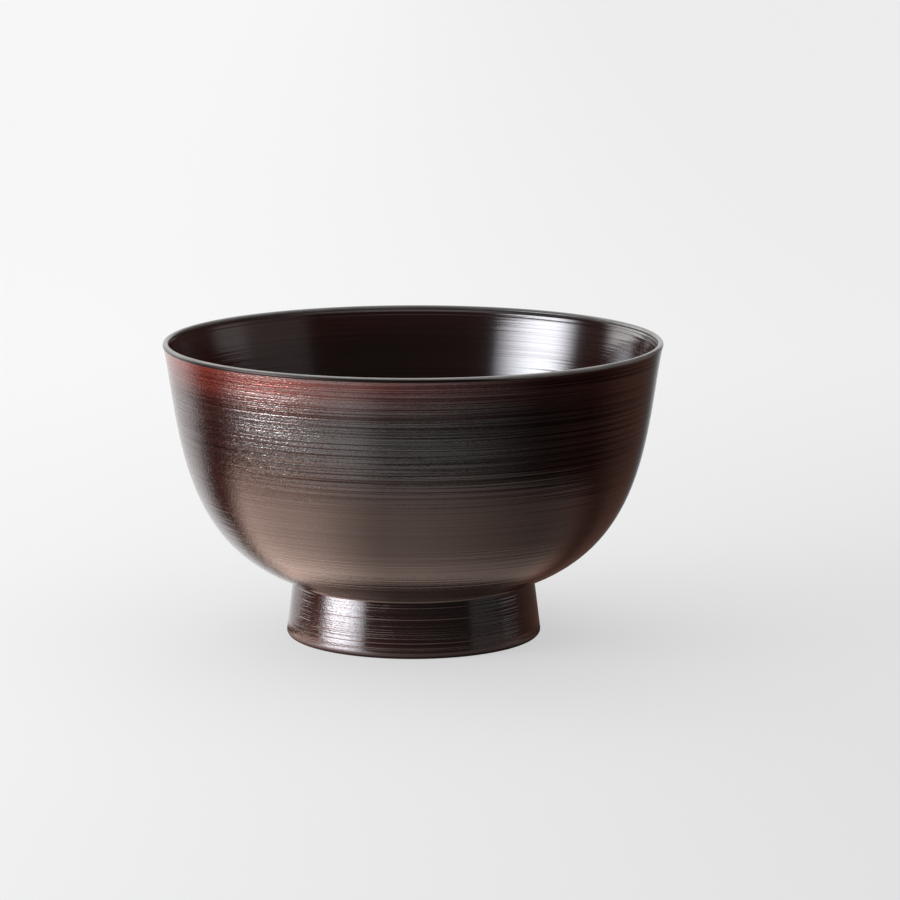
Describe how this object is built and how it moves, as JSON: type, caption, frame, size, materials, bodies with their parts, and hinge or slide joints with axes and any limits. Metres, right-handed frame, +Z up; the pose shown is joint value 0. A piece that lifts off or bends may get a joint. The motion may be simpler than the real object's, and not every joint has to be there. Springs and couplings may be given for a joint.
{
  "type": "lacquered soup bowl",
  "caption": "Deep round soup bowl of turned wood with a flared foot ring, a rounded lip and dark brush-marked lacquer over a red undercoat.",
  "frame": {"origin": "middle of the flat ring that the bowl stands on", "axes": "+Z up along the bowl's axis, from the standing ring to the lip; the bowl is round, so X and Y are alike"},
  "size_m": [0.12, 0.12, 0.0717],
  "materials": {
    "wood": "turned, fine grained, sealed under the lacquer",
    "red_undercoat": "satin red lacquer",
    "brushed_lacquer": "gloss black-brown lacquer with fine level brush marks, red showing where it is thin",
    "plain_lacquer": "smooth gloss black-brown lacquer"
  },
  "bodies": {
    "root": {"wood_core": "wood", "outside_undercoat": "red_undercoat", "inside_undercoat": "red_undercoat", "foot_well_coat": "plain_lacquer", "foot_coat": "brushed_lacquer", "body_coat": "brushed_lacquer", "lip_coat": "plain_lacquer", "inside_coat": "brushed_lacquer"}
  },
  "joints": []
}
